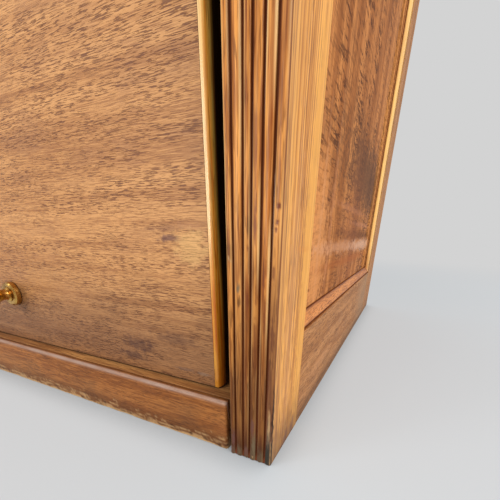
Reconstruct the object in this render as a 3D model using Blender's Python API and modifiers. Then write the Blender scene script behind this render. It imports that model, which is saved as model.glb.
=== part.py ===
"""Barrister bookcase in oak: a base unit with a solid up-and-over door, two glazed
up-and-over sections and a moulded top, stacked three high.

Units are metres, +Z is up and -Y is the front. The origin is the centre of the
bounding box's bottom face.
"""
import math

import bmesh
import bpy
from mathutils import Euler, Vector

# ---------------------------------------------------------------- driving dimensions
WIDTH = 0.864               # over the end frames
DEPTH = 0.406               # end frames, front edge to rear edge
END_THICK = 0.022           # end frame, and so the width of the reeded front edge
BASE_HEIGHT = 0.420
SECTION_HEIGHT = 0.370
TOP_THICK = 0.030

SIDE_OVERHANG = 0.012       # top board past the end frames
FRONT_OVERHANG = 0.013      # top board and knobs past the front edges
GAP = 0.0003                # joint line between two touching pieces

REED_WIDTHS = (0.0036, 0.0042, 0.0039, 0.0033, 0.0041, 0.0029)  # outer corner inwards
REED_DEPTH = 0.0016
REED_STEPS = 6
STILE_FRONT = 0.040         # front stile seen from the side
STILE_REAR = 0.072          # rear stile, to the edge of the panel
BASE_RAIL = 0.065           # base end rails, to the edge of the panel
SECTION_RAIL = 0.046        # glazed sections' end rails, to the edge of the panel
CHAMFER = 0.0075            # frame edge round the panel, measured on the outer face
RECESS = 0.005              # outer face of the frame down to the panel
PANEL_THICK = END_THICK - RECESS - GAP      # flush with the frame inside

PLINTH_HEIGHT = 0.029       # floor to the ledge in front of the base door
PLINTH_SETBACK = 0.0014     # plinth, shelves and top rails behind the front edges
PLINTH_LIP = 0.003          # rounded nosing in front of the ledge's joint line
PLINTH_THICK = 0.020
PLINTH_SHORT = 0.0028       # gap between each end of the plinth and the end frame
NOSING_RADIUS = 0.0024
BOARD_THICK = 0.018         # bottom board and shelves
BACK_THICK = 0.006
BACK_INSET = 0.003          # back panel in from the end frames' rear edge

TOP_RAIL_HEIGHT = 0.022
TOP_RAIL_THICK = 0.018
DOOR_THICK = 0.018
DOOR_SETBACK = 0.0112       # door face behind the front edges
DOOR_SIDE_GAP = 0.0115      # door edge to end frame, where the guide runs
DOOR_BOTTOM_GAP = 0.0006
DOOR_TOP_GAP = 0.0010
LIPPING = 0.0036            # solid strip on the veneered door's upright edges
LIPPING_RADIUS = 0.0034
DOOR_STILE = 0.038          # glazed door's frame
DOOR_RAIL = 0.038
GLASS_THICK = 0.003

PIN_RADIUS = 0.0025
PIN_BORE = 0.0028
PIN_IN_DOOR = 0.014
PIN_IN_GUIDE = 0.007
GUIDE_GAP = 0.0008          # door edge to guide
GUIDE_HEIGHT = 0.014
GROOVE_HEIGHT = 0.006
GROOVE_DEPTH = 0.008
GUIDE_OVERRUN = 0.008       # guide past the pin's centre at each end of its travel

KNOB_RADIUS = 0.010
KNOB_OUT = DOOR_SETBACK + FRONT_OVERHANG
KNOB_RISE = 0.034           # knob's centre above the door's bottom edge
KNOB_SPREAD = 0.230         # knob's centre from the middle of the door
KNOB_CLEARANCE = 0.004      # open door's knob in front of the top rail
TURN_STEPS = 20
PIN_STEPS = 16
ARC_STEPS = 8
WELD = 1e-6
FLAT_ANGLE = math.radians(1)

# ---------------------------------------------------------------- derived places
FRONT = (FRONT_OVERHANG - DEPTH) / 2
BACK = FRONT + DEPTH
OUTER_X = WIDTH / 2
INNER_X = OUTER_X - END_THICK
DOOR_HALF = INNER_X - DOOR_SIDE_GAP
DOOR_FRONT = FRONT + DOOR_SETBACK
DOOR_BACK = DOOR_FRONT + DOOR_THICK
PIVOT_RADIUS = DOOR_THICK / 2
PIVOT_Y = DOOR_FRONT + PIVOT_RADIUS
RAIL_FRONT = FRONT + PLINTH_SETBACK
BACK_FRONT = BACK - BACK_INSET - BACK_THICK
SIDES = {"left": -1, "right": 1}

# name, floor of the unit, height, top face of its bottom board, height of its end rails
UNITS = (
    ("base", 0.0, BASE_HEIGHT, PLINTH_HEIGHT, BASE_RAIL),
    ("middle", BASE_HEIGHT, SECTION_HEIGHT, BOARD_THICK, SECTION_RAIL),
    ("upper", BASE_HEIGHT + SECTION_HEIGHT, SECTION_HEIGHT, BOARD_THICK, SECTION_RAIL),
)
TOP_Z = BASE_HEIGHT + 2 * SECTION_HEIGHT

# colour (linear), roughness, metallic
MATERIALS = {
    "oak_frame": ((0.30, 0.13, 0.045), 0.42, 0.0),
    "oak_panel": ((0.26, 0.10, 0.035), 0.22, 0.0),
    "oak_plinth": ((0.24, 0.12, 0.050), 0.55, 0.0),
    "oak_door": ((0.23, 0.12, 0.055), 0.48, 0.0),
    "oak_lipping": ((0.42, 0.22, 0.080), 0.40, 0.0),
    "oak_shelf": ((0.33, 0.17, 0.070), 0.55, 0.0),
    "plywood_back": ((0.36, 0.22, 0.110), 0.65, 0.0),
    "brass": ((0.60, 0.40, 0.140), 0.30, 1.0),
    "steel": ((0.42, 0.42, 0.430), 0.38, 1.0),
    "glass": ((0.85, 0.90, 0.880), 0.04, 0.0),
}


# ---------------------------------------------------------------- scene and helpers
def clear_scene():
    for old in list(bpy.data.objects):
        bpy.data.objects.remove(old, do_unlink=True)


def new_collection(name):
    collection = bpy.data.collections.new(name)
    bpy.context.scene.collection.children.link(collection)
    return collection


def new_material(name, colour, roughness, metallic):
    material = bpy.data.materials.new(name)
    material.use_nodes = True
    shader = material.node_tree.nodes["Principled BSDF"]
    shader.inputs["Base Color"].default_value = (*colour, 1.0)
    shader.inputs["Roughness"].default_value = roughness
    shader.inputs["Metallic"].default_value = metallic
    return material


def add_object(name, data, collection, slot=None):
    obj = bpy.data.objects.new(name, data)
    collection.objects.link(obj)
    if slot:
        obj.data.materials.append(new_material(name + "_" + slot, *MATERIALS[slot]))
    return obj


def box(name, low, high, slot, collection=None):
    """A board between two corners, with its origin in the middle."""
    low, high = Vector(low), Vector(high)
    bm = bmesh.new()
    bmesh.ops.create_cube(bm, size=1.0)
    bmesh.ops.scale(bm, vec=high - low, verts=bm.verts)
    mesh = bpy.data.meshes.new(name)
    bm.to_mesh(mesh)
    bm.free()
    obj = add_object(name, mesh, collection or parts, slot)
    obj.location = (low + high) / 2
    return obj


def extrusion(name, outline, half, place, turn=(0, 0, 0)):
    """A closed outline thickened by half each way, as a mesh with welded caps."""
    curve = bpy.data.curves.new(name, "CURVE")
    curve.dimensions = "2D"
    curve.fill_mode = "BOTH"
    curve.extrude = half
    spline = curve.splines.new("POLY")
    spline.points.add(len(outline) - 1)
    for point, (across, along) in zip(spline.points, outline):
        point.co = (across, along, 0.0, 1.0)
    spline.use_cyclic_u = True
    source = add_object(name + "_outline", curve, parts)
    source.location = place
    source.rotation_euler = Euler(turn)
    bpy.context.view_layer.update()
    evaluated = source.evaluated_get(bpy.context.evaluated_depsgraph_get())
    mesh = bpy.data.meshes.new_from_object(evaluated)
    placed = source.matrix_world.copy()
    bpy.data.objects.remove(source, do_unlink=True)
    bm = bmesh.new()
    bm.from_mesh(mesh)
    bmesh.ops.remove_doubles(bm, verts=bm.verts, dist=WELD)
    bmesh.ops.dissolve_limit(bm, angle_limit=FLAT_ANGLE, verts=bm.verts, edges=bm.edges)
    bmesh.ops.recalc_face_normals(bm, faces=bm.faces)
    bm.to_mesh(mesh)
    bm.free()
    return mesh, placed


def extruded(name, outline, low, high, axis, slot):
    """An outline carried from low to high along axis.

    Along Z the outline is (x, y), along Y it is (x, z) and along X it is (y, z).
    """
    middle = (low + high) / 2
    places = {
        "Z": ((0, 0, middle), (0, 0, 0)),
        "Y": ((0, middle, 0), (math.radians(90), 0, 0)),
        "X": ((middle, 0, 0), (math.radians(90), 0, math.radians(90))),
    }
    place, turn = places[axis]
    mesh, placed = extrusion(name, outline, (high - low) / 2, place, turn)
    obj = add_object(name, mesh, parts, slot)
    obj.matrix_world = placed
    return obj


def cut(obj, cutter):
    modifier = obj.modifiers.new("cut_" + cutter.name, "BOOLEAN")
    modifier.operation = "DIFFERENCE"
    modifier.object = cutter


def hide_cutter(cutter):
    cutter.hide_render = True
    cutter.display_type = "WIRE"
    return cutter


def arc(centre, radius, start, end, steps):
    """Points on an arc in the outline's plane; angles in degrees."""
    points = []
    for step in range(steps + 1):
        angle = math.radians(start + (end - start) * step / steps)
        points.append((centre[0] + radius * math.cos(angle), centre[1] + radius * math.sin(angle)))
    return points


def turned(name, profile, place, turn, slot, steps):
    """A profile of (radius, height) pairs, top to bottom, spun about its own Z."""
    bm = bmesh.new()
    verts = [bm.verts.new((radius, 0.0, height)) for radius, height in profile]
    for upper, lower in zip(verts, verts[1:]):
        bm.edges.new((upper, lower))
    mesh = bpy.data.meshes.new(name)
    bm.to_mesh(mesh)
    bm.free()
    obj = add_object(name, mesh, parts, slot)
    screw = obj.modifiers.new("spin", "SCREW")
    screw.angle = math.radians(360)
    screw.steps = steps
    screw.render_steps = steps
    screw.use_merge_vertices = True
    screw.merge_threshold = 0.0001
    screw.use_smooth_shade = True
    obj.location = place
    obj.rotation_euler = Euler(turn)
    return obj


# ---------------------------------------------------------------- end frames
def groove_depth(across):
    """Depth of the reeding's grooves: shallower towards the two corners of the edge."""
    offset = (across - INNER_X) / END_THICK - 0.5
    return REED_DEPTH * (1 - offset * offset)


def reeded_edge(side, front):
    """The front edge in plan: a row of beads from the outer corner to the inner one."""
    points = [(side * OUTER_X, front + groove_depth(OUTER_X))]
    corner = OUTER_X
    for width in REED_WIDTHS:
        for step in range(1, REED_STEPS + 1):
            angle = math.pi * step / REED_STEPS
            across = corner - width * (1 - math.cos(angle)) / 2
            points.append((side * across, front + groove_depth(across) * (1 - math.sin(angle))))
        corner -= width
    return points


def window_cutter(name, side, low_z, high_z):
    """The panel's window with its chamfer on three sides; the front stile stays square."""
    inner_front = FRONT + STILE_FRONT
    inner_back = BACK - STILE_REAR
    rings = (
        (INNER_X - RECESS, 0.0),
        (OUTER_X - RECESS, 0.0),
        (OUTER_X + RECESS, 2 * CHAMFER),
    )
    bm = bmesh.new()
    loops = []
    for depth, spread in rings:
        corners = (
            (inner_front, low_z - spread),
            (inner_back + spread, low_z - spread),
            (inner_back + spread, high_z + spread),
            (inner_front, high_z + spread),
        )
        loops.append([bm.verts.new((side * depth, y, z)) for y, z in corners])
    for first, second in zip(loops, loops[1:]):
        for step in range(4):
            after = (step + 1) % 4
            bm.faces.new((first[step], first[after], second[after], second[step]))
    bm.faces.new(loops[0])
    bm.faces.new(loops[-1])
    bmesh.ops.recalc_face_normals(bm, faces=bm.faces)
    mesh = bpy.data.meshes.new(name)
    bm.to_mesh(mesh)
    bm.free()
    return hide_cutter(add_object(name, mesh, cutters))


def end_members(unit, side_name, low, high, rail):
    """The base unit's end: two stiles and two rails, each its own piece."""
    side = SIDES[side_name]
    name = unit + "_" + side_name
    inner = side * INNER_X
    outer = side * OUTER_X
    left, right = min(inner, outer), max(inner, outer)
    stile_back = FRONT + STILE_FRONT
    outline = reeded_edge(side, FRONT) + [(inner, stile_back), (outer, stile_back)]
    extruded(name + "_front_stile", outline, low, high, "Z", "oak_frame")
    cutter = window_cutter("window_" + name, side, low + rail, high - rail)
    rear_front = BACK - STILE_REAR
    rear = box(name + "_rear_stile", (left, rear_front, low), (right, BACK, high), "oak_frame")
    cut(rear, cutter)
    rail_span = (stile_back + GAP, rear_front - GAP)
    for rail_name, bottom, top in (("bottom", low, low + rail), ("top", high - rail, high)):
        piece = box(name + "_" + rail_name + "_rail", (left, rail_span[0], bottom),
                    (right, rail_span[1], top), "oak_frame")
        cut(piece, cutter)


def end_frame(unit, side_name, low, high, rail):
    """A glazed section's end: one glued frame, reeded at its front edge."""
    side = SIDES[side_name]
    name = unit + "_" + side_name
    outline = reeded_edge(side, FRONT) + [(side * INNER_X, BACK), (side * OUTER_X, BACK)]
    frame = extruded(name + "_end_frame", outline, low, high, "Z", "oak_frame")
    cut(frame, window_cutter("window_" + name, side, low + rail, high - rail))


def end_panel(unit, side_name, low, high, rail):
    side = SIDES[side_name]
    faces = sorted((side * (OUTER_X - RECESS - GAP), side * (OUTER_X - RECESS - GAP - PANEL_THICK)))
    box(unit + "_" + side_name + "_end_panel",
        (faces[0], FRONT + STILE_FRONT + GAP, low + rail + GAP),
        (faces[1], BACK - STILE_REAR - GAP, high - rail - GAP), "oak_panel")


# ---------------------------------------------------------------- case boards
def plinth():
    """Front plinth with a rounded nosing; the bottom board lies in its rebate."""
    half = INNER_X - PLINTH_SHORT
    face = RAIL_FRONT
    lip_back = face + PLINTH_LIP
    rebate = PLINTH_HEIGHT - BOARD_THICK - GAP
    centre = (face + NOSING_RADIUS, PLINTH_HEIGHT - NOSING_RADIUS)
    outline = [(face, 0.0), (face + PLINTH_THICK, 0.0), (face + PLINTH_THICK, rebate),
               (lip_back, rebate), (lip_back, PLINTH_HEIGHT)]
    outline += arc(centre, NOSING_RADIUS, 90, 180, ARC_STEPS // 2)
    extruded("plinth_rail", outline, -half, half, "X", "oak_plinth")


def case_boards(unit, base, height, floor):
    half = INNER_X - GAP
    top = base + height - GAP
    board_low = base + floor - BOARD_THICK
    if unit == "base":
        board_front = RAIL_FRONT + PLINTH_LIP + GAP
        board_name = "bottom_board"
    else:
        board_front = RAIL_FRONT
        board_name = unit + "_shelf"
    box(board_name, (-half, board_front, board_low), (half, BACK_FRONT - GAP, base + floor), "oak_shelf")
    box(unit + "_back_panel", (-half, BACK_FRONT, board_low), (half, BACK_FRONT + BACK_THICK, top),
        "plywood_back")
    box(unit + "_top_rail", (-half, RAIL_FRONT, top - TOP_RAIL_HEIGHT),
        (half, RAIL_FRONT + TOP_RAIL_THICK, top), "oak_frame")


def top_board():
    """Moulded top: square at the back, rounded in two steps at the front and sides."""
    half = OUTER_X + SIDE_OVERHANG
    front = FRONT - FRONT_OVERHANG
    board = box("top_board", (-half, front, TOP_Z), (half, BACK, TOP_Z + TOP_THICK), "oak_frame")
    bm = bmesh.new()
    bm.from_mesh(board.data)
    half_depth = (BACK - front) / 2
    edges = []
    for edge in bm.edges:
        at_back = all(vert.co.y > half_depth - GAP for vert in edge.verts)
        upright = abs(edge.verts[0].co.z - edge.verts[1].co.z) > GAP
        if not at_back and not upright:
            edges.append(edge)
    bmesh.ops.bevel(bm, geom=edges, offset=TOP_THICK / 4, segments=4, profile=0.5, affect="EDGES")
    bm.to_mesh(board.data)
    bm.free()


# ---------------------------------------------------------------- doors
def door_levels(base, height, floor):
    bottom = base + floor + DOOR_BOTTOM_GAP
    top = base + height - GAP - TOP_RAIL_HEIGHT - DOOR_TOP_GAP
    return bottom, top


def door_travel(bottom, top):
    """How far the raised door slides in before its knobs would reach the top rail."""
    drop = top - PIVOT_RADIUS - bottom - KNOB_RISE
    return drop - (PIVOT_Y - RAIL_FRONT) - KNOB_RADIUS - KNOB_CLEARANCE


def round_top(bottom, top):
    """Door section in (y, z): square at the bottom, half round about the pivot at the top."""
    pivot = (PIVOT_Y, top - PIVOT_RADIUS)
    return [(DOOR_FRONT, bottom), (DOOR_BACK, bottom)] + arc(pivot, PIVOT_RADIUS, 0, 180, ARC_STEPS)


def pivot_empty(name, z):
    empty = bpy.data.objects.new(name, None)
    parts.objects.link(empty)
    empty.location = (0, PIVOT_Y, z)
    return empty


def hang_on(empty, pieces):
    """Parent pieces to an empty on the joint's axis without moving them."""
    bpy.context.view_layer.update()
    for piece in pieces:
        piece.parent = empty
        piece.matrix_parent_inverse = empty.matrix_world.inverted()


def pin_bore(name, side, z):
    """Cutter for the pivot pin's hole in a door's edge."""
    depth = PIN_IN_DOOR + GAP
    bm = bmesh.new()
    bmesh.ops.create_cone(bm, cap_ends=True, segments=PIN_STEPS, radius1=PIN_BORE, radius2=PIN_BORE,
                          depth=2 * depth)
    mesh = bpy.data.meshes.new(name)
    bm.to_mesh(mesh)
    bm.free()
    cutter = hide_cutter(add_object(name, mesh, cutters))
    cutter.location = (side * DOOR_HALF, PIVOT_Y, z)
    cutter.rotation_euler = (0, math.radians(90), 0)
    return cutter


def lipping(side_name, bottom, top):
    """Thin solid strip on the door's edge, rounded over at its front and back."""
    side = SIDES[side_name]
    ends = sorted((side * DOOR_HALF, side * (DOOR_HALF - LIPPING)))
    piece = extruded("base_door_lipping_" + side_name, round_top(bottom, top), *ends, "X", "oak_lipping")
    bm = bmesh.new()
    bm.from_mesh(piece.data)
    outer = max(side * vert.co.z for vert in bm.verts)
    rim = [edge for edge in bm.edges
           if all(abs(side * vert.co.z - outer) < GAP for vert in edge.verts) and not edge_is_inside(edge)]
    bmesh.ops.bevel(bm, geom=rim, offset=LIPPING_RADIUS, segments=4, profile=0.5, affect="EDGES",
                    clamp_overlap=True)
    bm.to_mesh(piece.data)
    bm.free()
    return piece


def edge_is_inside(edge):
    """True for an edge between two faces of the same flat end."""
    return len(edge.link_faces) == 2 and edge.calc_face_angle(0.0) < FLAT_ANGLE


def solid_door(bottom, top):
    """Base door: a veneered panel with a solid lipping on each upright edge."""
    half = DOOR_HALF - LIPPING - GAP
    panel = extruded("base_door_panel", round_top(bottom, top), -half, half, "X", "oak_door")
    pieces = [panel]
    for side_name, side in SIDES.items():
        bore = pin_bore("bore_base_" + side_name, side, top - PIVOT_RADIUS)
        strip = lipping(side_name, bottom, top)
        cut(strip, bore)
        cut(panel, bore)
        pieces.append(strip)
    return pieces


def glazed_door(unit, bottom, top):
    """Section door: two stiles, two rails and a pane."""
    pieces = []
    for side_name, side in SIDES.items():
        ends = sorted((side * DOOR_HALF, side * (DOOR_HALF - DOOR_STILE)))
        stile = extruded(unit + "_door_stile_" + side_name, round_top(bottom, top), *ends, "X", "oak_frame")
        cut(stile, pin_bore("bore_" + unit + "_" + side_name, side, top - PIVOT_RADIUS))
        pieces.append(stile)
    half = DOOR_HALF - DOOR_STILE - GAP
    rail_low = bottom + DOOR_RAIL
    rail_high = top - DOOR_RAIL
    upper = round_top(rail_high, top)
    pieces.append(extruded(unit + "_door_top_rail", upper, -half, half, "X", "oak_frame"))
    pieces.append(box(unit + "_door_bottom_rail", (-half, DOOR_FRONT, bottom), (half, DOOR_BACK, rail_low),
                      "oak_frame"))
    pane = GLASS_THICK / 2
    pieces.append(box(unit + "_door_glass", (-half, PIVOT_Y - pane, rail_low + GAP),
                      (half, PIVOT_Y + pane, rail_high - GAP), "glass"))
    return pieces


def knob(unit, side_name, bottom):
    """Turned brass knob; its own Z points out of the door's face."""
    side = SIDES[side_name]
    head = KNOB_RADIUS
    out = KNOB_OUT
    profile = [(0.0, out), (0.45 * head, 0.985 * out), (0.80 * head, 0.90 * out), (head, 0.74 * out),
               (0.92 * head, 0.60 * out), (0.55 * head, 0.46 * out), (0.38 * head, 0.34 * out),
               (0.40 * head, 0.20 * out), (0.74 * head, 0.12 * out), (0.78 * head, GAP), (0.0, GAP)]
    place = (side * KNOB_SPREAD, DOOR_FRONT, bottom + KNOB_RISE)
    return turned(unit + "_door_knob_" + side_name, profile, place, (math.radians(90), 0, 0), "brass",
                  TURN_STEPS)


def pivot_pin(unit, side_name, z):
    """Steel pin, half in the door's edge and half in the guide's groove."""
    side = SIDES[side_name]
    inner = DOOR_HALF - PIN_IN_DOOR
    outer = DOOR_HALF + GUIDE_GAP + PIN_IN_GUIDE
    half = (outer - inner) / 2
    nose = PIN_RADIUS / 4
    profile = [(0.0, half), (PIN_RADIUS - nose, half), (PIN_RADIUS, half - nose),
               (PIN_RADIUS, nose - half), (PIN_RADIUS - nose, -half), (0.0, -half)]
    place = (side * (inner + outer) / 2, PIVOT_Y, z)
    return turned(unit + "_pivot_pin_" + side_name, profile, place, (0, math.radians(90), 0), "steel",
                  PIN_STEPS)


def guide(unit, side_name, z, travel):
    """Grooved steel rail on the end frame's inner face, in which the pin slides."""
    side = SIDES[side_name]
    mouth = DOOR_HALF + GUIDE_GAP
    wall = INNER_X - GAP
    floor = mouth + GROOVE_DEPTH
    half, groove = GUIDE_HEIGHT / 2, GROOVE_HEIGHT / 2
    section = [(wall, z - half), (wall, z + half), (mouth, z + half), (mouth, z + groove),
               (floor, z + groove), (floor, z - groove), (mouth, z - groove), (mouth, z - half)]
    outline = [(side * across, up) for across, up in section]
    extruded(unit + "_guide_" + side_name, outline, PIVOT_Y - GUIDE_OVERRUN,
             PIVOT_Y + travel + GUIDE_OVERRUN, "Y", "steel")


def door(unit, base, height, floor):
    """One up-and-over door with its pins and guides."""
    bottom, top = door_levels(base, height, floor)
    z = top - PIVOT_RADIUS
    travel = door_travel(bottom, top)
    pieces = solid_door(bottom, top) if unit == "base" else glazed_door(unit, bottom, top)
    carriage = []
    for side_name in SIDES:
        pieces.append(knob(unit, side_name, bottom))
        carriage.append(pivot_pin(unit, side_name, z))
        guide(unit, side_name, z, travel)
    slide_axis = pivot_empty(unit + "_slide_axis", z)
    hinge_axis = pivot_empty(unit + "_hinge_axis", z)
    hang_on(slide_axis, carriage + [hinge_axis])
    hang_on(hinge_axis, pieces)


# ---------------------------------------------------------------- the bookcase
def build():
    for unit, base, height, floor, rail in UNITS:
        ends = end_members if unit == "base" else end_frame
        for side_name in SIDES:
            ends(unit, side_name, base, base + height - GAP, rail)
            end_panel(unit, side_name, base, base + height - GAP, rail)
        case_boards(unit, base, height, floor)
        door(unit, base, height, floor)
    plinth()
    top_board()


clear_scene()
parts = new_collection("barrister_bookcase")
cutters = new_collection("cutters")
build()
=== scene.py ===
"""Looks of the barrister bookcase: worn oak, glossy end panels, brass knobs and glass.

Lengths are metres unless a name or a comment says mm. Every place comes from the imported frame.
"""
import math
import random

import bmesh
import bpy
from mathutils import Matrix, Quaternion, Vector, noise


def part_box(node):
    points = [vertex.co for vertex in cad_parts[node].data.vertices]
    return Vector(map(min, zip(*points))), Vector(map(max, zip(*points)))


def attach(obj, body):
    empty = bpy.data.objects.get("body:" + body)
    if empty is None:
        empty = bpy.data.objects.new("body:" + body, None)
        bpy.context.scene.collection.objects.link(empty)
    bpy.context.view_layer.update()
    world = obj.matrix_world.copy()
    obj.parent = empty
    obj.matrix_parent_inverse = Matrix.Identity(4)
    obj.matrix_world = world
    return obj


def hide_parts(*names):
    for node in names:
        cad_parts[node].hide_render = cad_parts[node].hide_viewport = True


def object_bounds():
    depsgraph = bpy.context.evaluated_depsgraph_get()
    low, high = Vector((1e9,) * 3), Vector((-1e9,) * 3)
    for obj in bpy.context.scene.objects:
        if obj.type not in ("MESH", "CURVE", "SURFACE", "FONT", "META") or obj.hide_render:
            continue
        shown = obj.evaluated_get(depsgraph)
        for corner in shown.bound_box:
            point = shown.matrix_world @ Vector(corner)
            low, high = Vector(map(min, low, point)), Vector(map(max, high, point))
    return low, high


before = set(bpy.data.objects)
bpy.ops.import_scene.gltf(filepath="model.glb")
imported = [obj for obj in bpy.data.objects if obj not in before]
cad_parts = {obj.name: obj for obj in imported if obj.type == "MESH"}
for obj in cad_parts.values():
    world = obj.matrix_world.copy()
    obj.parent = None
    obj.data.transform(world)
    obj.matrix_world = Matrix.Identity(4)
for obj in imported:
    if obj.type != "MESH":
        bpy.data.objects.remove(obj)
cad_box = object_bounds()

MM = 0.001
UNITS = ("base", "middle", "upper")
SIDES = {"left": -1, "right": 1}

CASE_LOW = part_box("base_left_front_stile")[0]
CASE_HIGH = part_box("base_right_rear_stile")[1]
OUTER_X = CASE_HIGH.x
FRONT = CASE_LOW.y
BACK = CASE_HIGH.y
INNER_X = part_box("base_right_front_stile")[0].x
STILE_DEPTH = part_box("base_right_front_stile")[1].y - FRONT
CORNER = Vector((OUTER_X, FRONT, CASE_LOW.z))   # front right bottom corner
THICK_MM = (OUTER_X - INNER_X) / MM             # of an end frame
STILE_MM = STILE_DEPTH / MM                     # from a front stile's front to its back

REED_WIDTHS_MM = (3.6, 4.2, 3.9, 3.3, 4.1, 2.9)   # from the outer corner inwards
REED_CENTRES_MM = [sum(REED_WIDTHS_MM[:reed]) + width / 2
                   for reed, width in enumerate(REED_WIDTHS_MM)]
GROOVE_MM = 0.8              # flat bottom between two reeds
GROOVE_DEPTH_MM = 1.45
BEAD_DEPTH_MM = 1.1          # how far a reed's edge lies behind its crest
BEAD_POWER = 2.2             # 2 is an ellipse; more is squarer


# ------------------------ material graphs
WANDER_SCALE = 28.0          # 1/m
SPOT_RAGGED = 2.4            # how far noise moves a patch's edge, in patch radii
SPOT_EDGE = (2.3, 1.5)       # outside and inside of that edge, noise included


def srgb(red, green, blue):
    """A display colour, 0 to 255, as linear RGBA."""
    linear = []
    for level in (red, green, blue):
        share = level / 255
        linear.append(share / 12.92 if share <= 0.04045 else ((share + 0.055) / 1.055) ** 2.4)
    return (*linear, 1.0)


class Graph:
    """Short calls for building one material's nodes."""

    def __init__(self, name):
        self.material = bpy.data.materials.new(name)
        self.material.use_nodes = True
        self.tree = self.material.node_tree
        self.shader = self.tree.nodes["Principled BSDF"]

    def feed(self, node, inputs):
        """Links or sets a node's inputs, given by name or number."""
        for key, value in inputs.items():
            if isinstance(value, bpy.types.NodeSocket):
                self.tree.links.new(value, node.inputs[key])
            else:
                node.inputs[key].default_value = value

    def node(self, kind, inputs=None, **settings):
        """A new shader node; kind is its type without the prefix."""
        node = self.tree.nodes.new("ShaderNode" + kind)
        for key, value in settings.items():
            setattr(node, key, value)
        self.feed(node, inputs or {})
        return node

    def finish(self, tone, rough, relief, depth, **constants):
        """Feeds the shader; an underscore in a constant's name stands for a space."""
        bump = self.node("Bump", {"Height": relief, "Distance": depth, "Strength": 1.0})
        inputs = {"Base Color": tone, "Roughness": rough, "Normal": bump.outputs["Normal"]}
        inputs |= {key.replace("_", " "): value for key, value in constants.items()}
        self.feed(self.shader, inputs)
        return self.material

    def place(self):
        return self.node("TexCoord").outputs["Object"]

    def axis(self, name):
        return self.node("SeparateXYZ", {0: self.place()}).outputs[name]

    def attribute(self, name):
        return self.node("Attribute", attribute_name=name).outputs["Fac"]

    def vector(self, operation, *values):
        """Vector maths; LENGTH and DOT_PRODUCT give a number."""
        node = self.node("VectorMath", dict(enumerate(values)), operation=operation)
        return node.outputs["Value" if operation in ("LENGTH", "DOT_PRODUCT") else "Vector"]

    def math(self, operation, first, second, clamp=False):
        node = self.node("Math", {0: first, 1: second}, operation=operation,
                         use_clamp=clamp)
        return node.outputs[0]

    def times(self, first, second):
        return self.math("MULTIPLY", first, second)

    def span(self, value, low, high, start=0.0, end=1.0):
        """value between low and high, smoothly carried to start and end."""
        inputs = {"Value": value, "From Min": low, "From Max": high, "To Min": start, "To Max": end}
        return self.node("MapRange", inputs, interpolation_type="SMOOTHSTEP").outputs[0]

    def mix(self, share, first, second, blend="MIX"):
        node = self.node("Mix", data_type="RGBA", blend_type=blend)
        self.feed(node, {0: share, 6: first, 7: second})
        return node.outputs[2]

    def lay(self, tone, share, strength, colour):
        """A colour laid over tone, as strongly as share times strength."""
        return self.mix(self.times(share, strength), tone, colour)

    def waved(self, reach):
        """The place, wandering by up to about reach, so that grain lines aren't ruled."""
        inputs = {"Vector": self.place(), "Scale": WANDER_SCALE, "Detail": 2.0}
        wander = self.node("TexNoise", inputs).outputs["Color"]
        return self.vector("MULTIPLY_ADD", wander, (2 * reach, 2 * reach, 2 * reach), self.place())

    def noise(self, scale, shift=(0, 0, 0), vector=None, detail=3.0, roughness=0.5, distortion=0.0):
        """Noise with a scale per axis, in 1/m."""
        inputs = {"Vector": vector or self.place(), "Scale": scale, "Location": shift}
        inputs = {"Vector": self.node("Mapping", inputs).outputs["Vector"], "Scale": 1.0,
                  "Detail": detail, "Roughness": roughness, "Distortion": distortion}
        return self.node("TexNoise", inputs).outputs["Fac"]

    def spot(self, centre_mm, size_mm, ragged):
        """1 inside a ragged patch; the centre is measured from the front right bottom corner."""
        away = self.vector("SUBTRACT", self.place(), CORNER + Vector(centre_mm) * MM)
        far = self.vector("LENGTH", self.vector("DIVIDE", away, Vector(size_mm) * MM))
        return self.span(self.math("ADD", far, self.times(ragged, SPOT_RAGGED)), *SPOT_EDGE)

    def crevice(self, reach):
        """1 where the surface is open, 0 in a corner closer than reach."""
        node = self.node("AmbientOcclusion", {"Distance": reach}, samples=8)
        return node.outputs["AO"]

    def edge(self, radius):
        """Above 0 near an outer or inner edge, 0 on a flat face."""
        bevel = self.node("Bevel", {"Radius": radius}, samples=6).outputs[0]
        flat = self.node("NewGeometry").outputs["Normal"]
        return self.math("SUBTRACT", 1.0, self.vector("DOT_PRODUCT", bevel, flat))


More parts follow.
